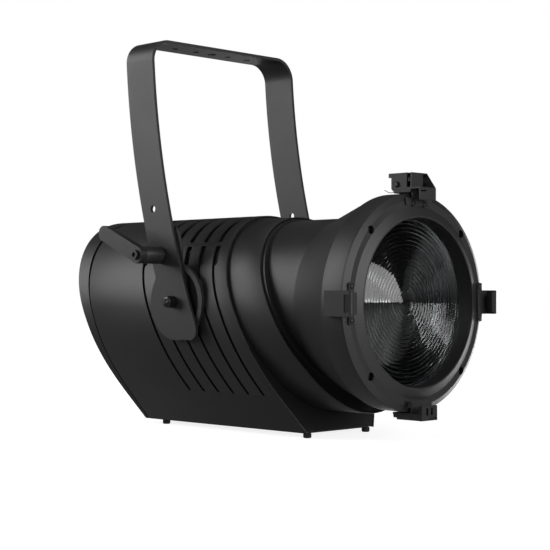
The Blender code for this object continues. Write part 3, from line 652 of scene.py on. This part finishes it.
def make_mid_shell():
    outline = egg(MID_R, MID_LOW_R, MID_BOTTOM_Z)
    show("waist_skin", skin(rolled(outline, mid_y, lambda z: front_y(z) + 0.008), True), "mid_shell")

    drop = AXIS_Z - CROWN_Z
    inner_r = MID_R - SHEET - 3 * GAP
    ring = []
    for i in range(120):
        angle = math.radians(i * 3)
        to_shell = math.sqrt(inner_r ** 2 - (drop * math.cos(angle)) ** 2) - drop * math.sin(angle)
        radius = min(COLLAR_R, to_shell)
        ring.append((radius * math.cos(angle), AXIS_Z + radius * math.sin(angle)))
    passage = lens_turned([(0, 0), *bell_outside(GAP), (0, NECK_REAR_Y)], closed=False)
    face = facing_y([inset(outline, SHEET + GAP)], SHEET, lambda z: mid_y(z) + 0.002)
    collar = facing_y([ring], 0.005, lambda z: mid_y(z) - 0.001)
    show("waist_face", cut(join(face, collar), passage), "mid_plate", bevel=0.0006)


# ---------------------------------------------------------------- front

LENS_RINGS = 17
LENS_SECTORS = 360
PUPIL_R = 0.0150
PUPIL_DEPTH = 0.0030
LENS_EDGE_R = 0.0974
LENS_RIM_DEPTH = 0.0008
FIRST_RING_DEPTH = 0.0016
RING_DEPTH_GAIN = 0.0015
RISER_WIDTH = 0.00025
BACK_ROWS = 26


def lens_rows():
    """(radius, depth behind the lens's front) from the middle out, round the rim and back to the middle."""
    width = (LENS_EDGE_R - PUPIL_R) / LENS_RINGS
    thick = LENS_REAR_Y - LENS_FRONT_Y
    rows = [(PUPIL_R * t, PUPIL_DEPTH * t ** 1.6) for t in (0.15, 0.3, 0.45, 0.6, 0.8, 1.0)]
    for i in range(LENS_RINGS):
        start = PUPIL_R + i * width
        depth = FIRST_RING_DEPTH + RING_DEPTH_GAIN * i / LENS_RINGS
        rows.append((start + RISER_WIDTH, 0.0))
        rows += [(start + width * t, depth * (0.8 * t + 0.2 * t * t)) for t in (0.33, 0.66, 1.0)]
    rows += [(LENS_EDGE_R + 0.0004, LENS_RIM_DEPTH), (LENS_R, LENS_RIM_DEPTH), (LENS_R, thick)]
    return rows + [(LENS_R * (1 - i / BACK_ROWS), thick - GAP) for i in range(1, BACK_ROWS)]


def make_lens():
    """A stepped lens: a domed middle, then rings whose faces grow steeper outwards."""
    bm = bmesh.new()
    middle = bm.verts.new((0, LENS_FRONT_Y, AXIS_Z))
    back = bm.verts.new((0, LENS_REAR_Y, AXIS_Z))
    rings = []
    for radius, depth in lens_rows():
        ring = []
        for k in range(LENS_SECTORS):
            angle = 2 * math.pi * k / LENS_SECTORS
            place = (radius * math.cos(angle), LENS_FRONT_Y + depth, AXIS_Z + radius * math.sin(angle))
            ring.append(bm.verts.new(place))
        rings.append(ring)
    for k in range(LENS_SECTORS):
        j = (k + 1) % LENS_SECTORS
        bm.faces.new((middle, rings[0][k], rings[0][j]))
        for inner, outer in zip(rings, rings[1:]):
            bm.faces.new((inner[k], outer[k], outer[j], inner[j]))
        bm.faces.new((back, rings[-1][j], rings[-1][k]))
    show("stepped_lens", mesh_from(bm), "fresnel_lens", smooth=12)


def make_front():
    bell = [*bell_outside(0), (NECK_R - SHEET, NECK_REAR_Y), (NECK_R - SHEET, NECK_FRONT_Y),
            (RING_R - 0.0022, BELL_BAND_END_Y), (RING_R - 0.0022, BELL_FRONT_Y)]
    show("bell_skin", lens_turned(bell), "front_bell", bevel=0.0004, angle=50)

    plug_r = RING_R - 0.0025
    bezel = [(OPENING_R, LIP_Y), (OPENING_R + 0.0018, LIP_Y), (INNER_FLAT_R, 0), (RING_FLAT_R, 0),
             (RING_R, 0.004), (RING_R, 0.005), (plug_r, 0.005), (plug_r, 0.012), (0.122, 0.012),
             (0.122, 0.004), (INNER_FLAT_R, 0.004), (LENS_R + 0.004, 0.001),
             (LENS_R + 0.004, 0.030), (LENS_R + 0.0004, 0.030), (LENS_R + 0.0004, LENS_FRONT_Y - 0.0006),
             (OPENING_R, LENS_FRONT_Y - 0.0006)]
    holes = []
    for i in range(4):
        angle = math.radians(45 + 90 * i)
        x, z = RING_SCREW_R * math.cos(angle), AXIS_Z + RING_SCREW_R * math.sin(angle)
        holes.append(rod((x, -0.01, z), (x, 0.014, z), 0.0049, 32))
        place = facing(x, 0.0046, z)
        pan = [(0, 0.0010), (0.0016, 0.0010), (0.0030, 0.0006), (0.0036, -0.0002), (0.0036, -0.0016),
               (0.0017, -0.0016), (0.0017, -0.009), (0, -0.009)]
        head = cut(turned(pan, Matrix(), 28), facing_z([circle((0, 0), 0.0013, 6)], 0.0001, 0.003))
        show(f"ring_screw_{i + 1}", moved(head, place), f"bezel_screw_{i + 1}")
    show("ring_face", cut(lens_turned(bezel), *holes), "front_bezel", bevel=0.0005, angle=14)


def clip_frame(angle):
    """Clip coordinates: (w along the ring, v along y, u outwards)."""
    return Matrix.Translation((0, 0, AXIS_Z)) @ Matrix.Rotation(math.radians(angle), 4, "Y")


def clip_profile():
    rim = RING_R + GAP
    t = 0.002
    outer = [(CLIP_REAR_Y, rim), (CLIP_REAR_Y - 0.0015, CLIP_TOP_R)]
    outer += arc((CLIP_FRONT_Y + 0.0022, CLIP_TOP_R - 0.0022), 0.0022, 90, 180, 5)
    outer += [(CLIP_FRONT_Y, CLIP_LIP_R), (CLIP_FRONT_Y + t, CLIP_LIP_R),
              (CLIP_FRONT_Y + t, CLIP_TOP_R - t - 0.0004)]
    return outer + [(-0.002, CLIP_TOP_R - t), (-0.002, EAR_LOW_R), (-GAP, EAR_LOW_R), (-GAP, rim)]


def ear_plate(frame):
    """The flat plate on the ring's face, with round corners, in clip coordinates."""
    outline = block((-EAR_HALF_W, EAR_LOW_R), (EAR_HALF_W, EAR_HIGH_R), EAR_CORNER_R)
    return moved(facing_y([outline], EAR_T, lambda u: EAR_MID_Y), frame)


def hood_cutters(frame):
    """What rounds the hood's rear edge and the lip's lower corners, in clip coordinates (w, v, u)."""
    curve = arc((0, -0.0165), 0.0445, 60, 120, 16)
    rear = [(w, v) for w, v in curve] + [(-0.03, 0.04), (0.03, 0.04)]
    cutters = [facing_z([rear], CLIP_TOP_R - 0.0018, CLIP_TOP_R + 0.01)]
    corner = ((0.0122, 0.110), (0.0122, 0.1312), (0.0128, 0.1332), (0.0146, 0.1342), (0.020, 0.1342),
              (0.020, 0.110))
    for side in (-1, 1):
        loop = [(side * w, u) for w, u in corner]
        cutters.append(facing_y([loop], 0.004, lambda u: CLIP_FRONT_Y + 0.0008))
    return [moved(cutter, frame) for cutter in cutters]


def bottom_slots(frame):
    """Two upright slots in the bottom clip's lip, the notch below them, and its sloped rear corners."""
    made = [box((w - 0.0018, -0.03, 0.1215), (w + 0.0018, -0.0135, 0.1300), frame) for w in (-0.0042, 0.0042)]
    made.append(box((-0.0135, -0.03, 0.1326), (0.0015, -0.0155, 0.1352), frame))
    for w in (-0.0098, 0.0098):
        made.append(box((w - 0.004, -0.013, 0.1350), (w + 0.004, 0.004, 0.14), frame))
    return made


def make_bottom_clip(body, frame):
    """The bottom clip is a closed block with two slots, and it has a round stud on one ear."""
    front = box((-0.0142, -0.0176, 0.1190), (0.0142, -0.0138, 0.1362), frame)
    filled = box((-0.0141, -0.0175, RING_R + GAP), (0.0141, 0.0200, 0.1361), frame)
    body = cut(join(body, front, filled), *bottom_slots(frame))
    show("bottom_frame_clip", body, "clip_bottom", bevel=0.0004)
    stud = [(0, 0.0036), (0.0030, 0.0036), (0.0036, 0.0030), (0.0036, -0.0004), (0, -0.0004)]
    show("bottom_clip_stud", turned(stud, frame @ facing(0.0195, -0.002, 0.1172), 32),
         slot="black_screw_steel", body="housing")


def make_side_clip(name, body, frame):
    """A side clip has a sunk window in its hood, with a dark pad in it as painted shade so that the window
    reads black, and a screw in each ear.
    """
    window = facing_z([block((-0.0098, CLIP_FRONT_Y + 0.0025), (0.0098, -0.005), 0.0008)],
                      CLIP_TOP_R - 0.0014, CLIP_TOP_R + 0.002)
    body = cut(body, *hood_cutters(frame), moved(window, frame))
    show(f"{name}_frame_clip", body, f"clip_{name}", bevel=0.0004)
    # Painted shade: a dark pad in the window stands in for the shaded channel behind it
    window_shade_pad = facing_z([block((-0.0094, CLIP_FRONT_Y + 0.0029), (0.0094, -0.0054), 0.0006)],
                   CLIP_TOP_R - 0.0013, CLIP_TOP_R - 0.0006)
    show(f"{name}_clip_window_shade", moved(window_shade_pad, frame), slot="foot_rubber", body="housing", bevel=0.0002)
    for number, side in ((1, -1), (2, 1)):
        place = frame @ facing(side * EAR_SCREW_X, EAR_FACE_Y, (EAR_LOW_R + EAR_HIGH_R) / 2)
        pan_screw(f"{name}_clip_screw_{number}", place, 0.0030)


def make_clips():
    for name, angle in (("left", -90), ("right", 90), ("bottom", 180)):
        frame = clip_frame(angle)
        hood = moved(facing_x([clip_profile()], -CLIP_HALF_W, CLIP_HALF_W), frame)
        body = join(hood, ear_plate(frame))
        if name == "bottom":
            make_bottom_clip(body, frame)
        else:
            make_side_clip(name, body, frame)


def pin_hole():
    return rod((-0.02, PIN_Y, PIN_Z), (0.02, PIN_Y, PIN_Z), PIN_HOLE_R, 32)


def make_latch_foot():
    rim_z = AXIS_Z + RING_R + 0.0004
    low = join(box((-0.0118, -0.002, rim_z), (0.0118, 0.026, rim_z + 0.002)),
               box((-0.0117, 0.010, rim_z + 0.0005), (0.0117, 0.025, 0.299)),
               box((-0.0117, -0.0019, AXIS_Z + EAR_LOW_R), (0.0117, -GAP, rim_z + 0.001)),
               ear_plate(clip_frame(0)))
    show("latch_foot", cut(low, pin_hole()), "latch_base", bevel=0.0005)
    for number, side in ((1, -1), (2, 1)):
        place = clip_frame(0) @ facing(side * LATCH_SCREW_X, EAR_FACE_Y, EAR_LOW_R + 0.0022)
        pan_screw(f"latch_screw_{number}", place, 0.0034, slot="foot_rubber")


def make_latch():
    """The hinged hood: an open well at its sloped front, and a slot in its left wall."""
    make_latch_foot()
    pin = [(0, PIN_END_X), (0.0019, PIN_END_X), (0.0025, 0.0134), (0.0025, -0.0134), (0.0019, -PIN_END_X),
           (0, -PIN_END_X)]
    show("hinge_pin", turned(pin, facing(0, PIN_Y, PIN_Z, 90, "Y"), 28), "latch_pin")

    lip_rear = CLIP_FRONT_Y + HOOD_T
    wall = [(0.0235, 0.2855), (0.028, 0.290), (0.028, 0.303), (0.032, 0.303), (0.032, HOOD_TOP_Z),
            (-0.0023, HOOD_TOP_Z), (CLIP_FRONT_Y, 0.290), (CLIP_FRONT_Y, 0.276), (lip_rear, 0.276),
            (lip_rear, 0.289), (-0.001, 0.289), (-0.001, 0.2855)]
    latch = facing_x([wall], -CLIP_HALF_W, CLIP_HALF_W)
    roof_z = HOOD_TOP_Z - HOOD_T
    hollow = [(0.045, 0.270), (0.045, roof_z), (-GAP, roof_z), (-GAP, 0.2906), (-0.001, 0.2906),
              (-0.001, 0.270)]
    well = box((-0.0200, -0.0400, HOOD_FLOOR_Z), (0.0124, -0.0031, 0.3200))
    right_well = box((0.0056, -0.0040, HOOD_FLOOR_Z), (0.0124, 0.0100, 0.3066))
    side_slot = box((-0.0160, -0.0008, HOOD_FLOOR_Z), (-0.0100, 0.0046, 0.3200))
    slit = box((-0.0142, -0.03, 0.2855), (-0.0030, -0.003, 0.2872))
    inside = facing_x([hollow], -HOOD_WALL_X, HOOD_WALL_X)
    latch = cut(latch, inside, pin_hole(), well, right_well, side_slot, slit)
    show("latch_hood", latch, "top_latch", bevel=0.0004)
    wire("latch_spring", [(-0.0075, 0.0245, 0.2872), (-0.0078, 0.031, 0.2862), (-0.0080, 0.037, 0.2862),
                          (-0.0082, 0.0405, 0.2885), (-0.0082, 0.0435, 0.2893)], 0.0004)
    nut = [(0, 0.0026), (0.0020, 0.0026), (0.0034, 0.0014), (0.0036, -0.0004), (0, -0.0004)]
    for number, side in ((1, -1), (2, 1)):
        place = facing(side * PIN_END_X, PIN_Y, PIN_Z, 90 * side, "Y")
        show(f"pin_cap_{number}", turned(nut, place, 24), slot="black_screw_steel", body="housing")


# ---------------------------------------------------------------- yoke and brake

def yoke_y(z):
    top_y, top_z = YOKE_BOW_TOP
    return top_y - YOKE_BOW_R + math.sqrt(YOKE_BOW_R ** 2 - (top_z - z) ** 2)


def yoke_half(z):
    rise = min(z - YOKE_BOTTOM_Z, YOKE_END_R)
    return YOKE_BAR_HALF - YOKE_END_R + math.sqrt(max(0, YOKE_END_R ** 2 - (YOKE_END_R - rise) ** 2))


def make_yoke():
    bend_z = YOKE_TOP_Z - YOKE_BEND_R
    ends = [YOKE_BOTTOM_Z + YOKE_END_R * (1 - math.cos(math.radians(a))) for a in range(4, 91, 8)]
    start_z = YOKE_BOTTOM_Z + YOKE_END_R
    arm = ends + [start_z + (bend_z - YOKE_BOTTOM_Z - YOKE_END_R) * t / 30 for t in range(1, 30)]
    bend = arc((-YOKE_HALF_W + YOKE_BEND_R, bend_z), YOKE_BEND_R, 180, 90, 24)
    left = [(-YOKE_HALF_W, z) for z in arm] + bend
    path = left + [(-x, z) for x, z in reversed(left)]
    rows = [[(x, yoke_y(z) + side * yoke_half(z), z) for x, z in path] for side in (-1, 1)]
    strip = skin(rows, False, YOKE_T)
    holes = [cross_rod(PIVOT_Y, PIVOT_Z, BOLT_HOLE_R),
             cross_rod(*YOKE_SIDE_HOLE, SMALL_YOKE_HOLE_R),
             rod((-BEYOND_X, LEVER_Y, LEVER_Z), (-0.1, LEVER_Y, LEVER_Z), LEVER_HOLE_R)]
    for x in YOKE_TOP_HOLES_X:
        top = Vector((x, YOKE_BOW_TOP[0], YOKE_TOP_Z))
        half = Vector((0, 0, 0.01))
        holes.append(rod(top - half, top + half, SMALL_YOKE_HOLE_R if x else LARGE_YOKE_HOLE_R))
    show("yoke_bar", cut(strip, *holes), "yoke", bevel=0.0006, segments=3)


def knurl(radius, teeth, depth):
    """A knurled outline: one groove a tooth."""
    made = []
    for i in range(teeth * 4):
        angle = 2 * math.pi * i / (teeth * 4)
        reach = radius - depth * (0, 0.15, 1, 0.15)[i % 4]
        made.append((reach * math.cos(angle), reach * math.sin(angle)))
    return made


def make_brake():
    centre = (PIVOT_Y, PIVOT_Z)
    for name, side in (("left", -1), ("right", 1)):
        faces = sorted((side * DISC_FACE_X, side * (DISC_FACE_X - DISC_T)))
        opening = arc(centre, DISC_INNER_R, *DISC_OPENING, 48)
        loops = [circle(centre, DISC_R, 120), circle(centre, BOLT_HOLE_R, 32), opening]
        show(f"friction_disc_{name}", facing_x(loops, *faces), f"brake_disc_{name}", bevel=0.0006)

        place = facing(0, PIVOT_Y, PIVOT_Z, 90 * side, "Y")
        head = YOKE_HALF_W + GAP
        grip = facing_z([knurl(0.0074, 36, 0.0006)], head + 0.0008, BOLT_END_X - 0.0040)
        core = [(0, BOLT_END_X), (0.0029, BOLT_END_X), (0.0035, BOLT_END_X - 0.0006),
                (0.0040, BOLT_END_X - 0.0028), (0.0058, BOLT_END_X - 0.0030), (0.0070, BOLT_END_X - 0.0041),
                (0.0070, head + 0.0006), (0.0062, head), (0.006, head), (0.006, 0.112), (0, 0.112)]
        bolt = moved(merged(turned(core, Matrix(), 48), grip), place)
        show(f"knurled_bolt_{name}", bolt, f"pivot_bolt_{name}", smooth=40)


def shoe_outline():
    """The clamp shoe in (y, z): its foot follows the disc's rim."""
    reach = DISC_R + 0.0005
    span = [math.degrees(math.acos((y - PIVOT_Y) / reach)) for y in SHOE_FOOT_Y]
    rim = arc((PIVOT_Y, PIVOT_Z), reach, span[1], span[0], 24)
    upper = [(0.322, 0.234), (0.304, 0.2515), (0.287, 0.2515), (0.2805, 0.246), (0.2745, 0.224)]
    return rim + rounded(upper, 0.002)[3:-3]


def make_lever():
    frame = facing(0, LEVER_Y, LEVER_Z, -90, "Y")
    face = YOKE_HALF_W + GAP
    barrel = [(0, BARREL_END_X), (0.0100, BARREL_END_X), (BARREL_R - 0.0003, BARREL_END_X - 0.0005),
              (BARREL_R, BARREL_END_X - 0.0012), (BARREL_R, face + 0.0085), (0.0104, face + 0.0078),
              (0.0104, face + 0.0072), (BARREL_R, face + 0.0065), (BARREL_R, face + 0.001),
              (BARREL_R - 0.001, face), (0.004, face), (0.004, 0.1190), (0, 0.1190)]
    show("barrel", turned(barrel, frame, 72), "lever_barrel", smooth=30)

    reach = Vector((HANDLE_END[0] - LEVER_Y, HANDLE_END[1] - LEVER_Z))
    lean = math.degrees(math.atan2(reach.y, reach.x))
    outline = arc((LEVER_Y, LEVER_Z), BARREL_R, lean + 112, lean + 248, 40)
    outline += arc(HANDLE_END, HANDLE_END_R, lean - 95, lean + 95, 30)
    bar = facing_x([outline, circle((LEVER_Y, LEVER_Z), 0.0033, 32)], -LEVER_EYE_END_X, -BARREL_END_X - GAP)
    show("handle", bar, "lever_handle", bevel=0.0022, segments=4)

    head = LEVER_EYE_END_X + GAP
    loops = [circle((0, 0), 0.0062, 48), circle((0, 0), 0.0032, 6)]
    cap = facing_z(loops, head, LEVER_END_X)
    stem = turned([(0, head + 0.0008), (0.0061, head + 0.0008), (0.0061, head + 0.0001), (0.003, head),
                   (0.003, BARREL_END_X + 0.0006), (0, BARREL_END_X + 0.0006)], Matrix(), 32)
    show("socket_screw", moved(merged(cap, stem), frame), "lever_screw", bevel=0.0004)

    loops = [shoe_outline(), circle((LEVER_Y, LEVER_Z), 0.0062, 32), circle(SHOE_PEG_HOLE, 0.0022, 24)]
    shoe = facing_x(loops, *SHOE_X)
    show("shoe", shoe, "brake_shoe", bevel=0.0004)


# ---------------------------------------------------------------- rear

LOUVRE_COUNT = 5
LOUVRE_FIRST_Y = 0.074
LOUVRE_PITCH = 0.008
LOUVRE_HALF_W = 0.040
LOUVRE_HEIGHT = 0.0035
LOUVRE_CORNER_R = 0.0016
COVER_SCREWS = ((0.052, -0.155), (0.108, -0.012), (0.074, 0.078))


def rear_frame():
    """Rear panel coordinates: X to the right as seen from behind, Y up the panel, Z out of it."""
    up = Vector((0, REAR_PLANE[1], 1)).normalized()
    out = Vector((0, 1, -REAR_PLANE[1])).normalized()
    turn = Matrix((up.cross(out), up, out)).transposed().to_4x4()
    return Matrix.Translation((0, rear_y(AXIS_Z), AXIS_Z)) @ turn


def make_rear():
    frame = rear_frame()
    shell = horseshoe()
    cover = skin([on_plane(shell, cover_front_y), on_plane(shell, rear_y)], True, cap_rear=True)
    louvres = []
    for i in range(LOUVRE_COUNT):
        y = LOUVRE_FIRST_Y + i * LOUVRE_PITCH
        outline = block((-LOUVRE_HALF_W, y), (LOUVRE_HALF_W, y + LOUVRE_HEIGHT), LOUVRE_CORNER_R)
        louvres.append(moved(facing_z([outline], -0.006, 0.006), frame))
    show("back_cover", cut(cover, *louvres), "rear_cover", bevel=0.0009, segments=3)
    corners = [(side * x, y) for x, y in COVER_SCREWS for side in (-1, 1)]
    for i, (x, y) in enumerate(corners):
        pan_screw(f"cover_screw_{i + 1}", frame @ Matrix.Translation((x, y, 0)), 0.0033)


# ---------------------------------------------------------------- studio

FLOOR_HALF = 6
ROOM_LIGHT = 0.04

# Soft patches of light in the room: (direction, cosine where it is full, cosine where it ends, strength)
GLOWS = (
    ((0, 0, -1), 0.35, -0.05, 0.16),
    ((0.10, -0.85, -0.55), 0.96, 0.78, 0.55),
    ((0.93, 0.30, -0.25), 0.955, 0.90, 6.5),
)


CAMERA_PLACE = (-1.27545, -1.308143, 0.1787)
CAMERA_TURN = (90.10, 0, -45.16)
CAMERA_LENS = 92.98
CAMERA_SHIFT = (-0.0012, 0.0213)

# (name, place, what it faces, size, watts)
SOFTBOXES = (
    ("back_left", (-1.30, 1.75, 1.10), (0, 0, 0.25), (1.5, 1.5), 30),
    ("front", (0.15, -2.25, 0.83), (0.15, -0.2, 0.83), (1.9, 1.33), 37),
    ("left", (-2.3, -0.55, 0.75), (0, 0, 0.15), (0.9, 0.9), 9),
    ("overhead", (0.2, 0.3, 2.2), (0, 0, 0), (1.5, 1.5), 5),
)


def floor_white():
    """Pale floor that glows: its glow is dimmer near the lamp, painted shade that lets the soft contact
    shadow from the lamps show there, and it is evenly white further out.
    """
    made = material("studio_white", (0.5, 0.5, 0.5), 1.0, Emission_Color=(1, 1, 1, 1))
    tree = made.node_tree
    shader = tree.nodes["Principled BSDF"]
    where = tree.nodes.new("ShaderNodeTexCoord")
    reach = tree.nodes.new("ShaderNodeVectorMath")
    reach.operation = "LENGTH"
    # Painted shade: the floor's glow is 0.84 near the lamp and rises to 1.05 from 0.3 m to 1.3 m out
    glow = tree.nodes.new("ShaderNodeMapRange")
    glow.inputs["From Min"].default_value = 0.3
    glow.inputs["From Max"].default_value = 1.3
    glow.inputs["To Min"].default_value = 0.84
    glow.inputs["To Max"].default_value = 1.05
    tree.links.new(where.outputs["Object"], reach.inputs[0])
    tree.links.new(reach.outputs["Value"], glow.inputs["Value"])
    tree.links.new(glow.outputs["Result"], shader.inputs["Emission Strength"])
    return made


def make_floor():
    bm = bmesh.new()
    bmesh.ops.create_grid(bm, x_segments=1, y_segments=1, size=FLOOR_HALF)
    floor = helper("studio_floor", mesh_from(bm))
    floor.data.materials.append(floor_white())
    floor.visible_diffuse = False
    floor.visible_glossy = False
    floor.visible_transmission = False


def make_world():
    """The camera sees plain white. Everything else sees a dim room with a few soft patches of light."""
    world = bpy.data.worlds.new("studio")
    bpy.context.scene.world = world
    world.use_nodes = True
    tree = world.node_tree
    output = tree.nodes["World Output"]
    room = tree.nodes["Background"]
    room.inputs["Color"].default_value = (1, 1, 1, 1)
    where = tree.nodes.new("ShaderNodeTexCoord")
    total = None
    for aim, inner, outer, strength in GLOWS:
        along = tree.nodes.new("ShaderNodeVectorMath")
        along.operation = "DOT_PRODUCT"
        along.inputs[1].default_value = Vector(aim).normalized()
        patch = tree.nodes.new("ShaderNodeMapRange")
        patch.interpolation_type = "SMOOTHSTEP"
        patch.inputs["From Min"].default_value = outer
        patch.inputs["From Max"].default_value = inner
        patch.inputs["To Max"].default_value = strength
        tree.links.new(where.outputs["Generated"], along.inputs[0])
        tree.links.new(along.outputs["Value"], patch.inputs["Value"])
        added = tree.nodes.new("ShaderNodeMath")
        added.inputs[0].default_value = ROOM_LIGHT
        if total:
            tree.links.new(total.outputs["Value"], added.inputs[0])
        tree.links.new(patch.outputs["Result"], added.inputs[1])
        total = added
    tree.links.new(total.outputs["Value"], room.inputs["Strength"])
    backdrop = tree.nodes.new("ShaderNodeBackground")
    backdrop.inputs["Color"].default_value = (1, 1, 1, 1)
    rays = tree.nodes.new("ShaderNodeLightPath")
    mix = tree.nodes.new("ShaderNodeMixShader")
    tree.links.new(rays.outputs["Is Camera Ray"], mix.inputs["Fac"])
    tree.links.new(room.outputs["Background"], mix.inputs[1])
    tree.links.new(backdrop.outputs["Background"], mix.inputs[2])
    tree.links.new(mix.outputs["Shader"], output.inputs["Surface"])


def softbox(name, place, target, size, power):
    data = bpy.data.lights.new(name, "AREA")
    data.shape = "RECTANGLE"
    data.size, data.size_y = size
    data.energy = power
    lamp = helper(name, data)
    lamp.location = place
    lamp.rotation_euler = (Vector(target) - Vector(place)).to_track_quat("-Z", "Y").to_euler()


def make_camera():
    scene = bpy.context.scene
    camera = bpy.data.cameras.new("camera")
    view = helper("camera", camera)
    view.location = CAMERA_PLACE
    view.rotation_euler = [math.radians(angle) for angle in CAMERA_TURN]
    camera.lens = CAMERA_LENS
    camera.sensor_width = 36
    camera.shift_x, camera.shift_y = CAMERA_SHIFT
    scene.camera = view
    scene.view_settings.view_transform = "Standard"


make_housing()
make_mid_shell()
make_front()
make_lens()
make_clips()
make_latch()
make_yoke()
make_brake()
make_lever()
make_rear()
make_floor()
make_world()
for softbox_row in SOFTBOXES:
    softbox(*softbox_row)
make_camera()
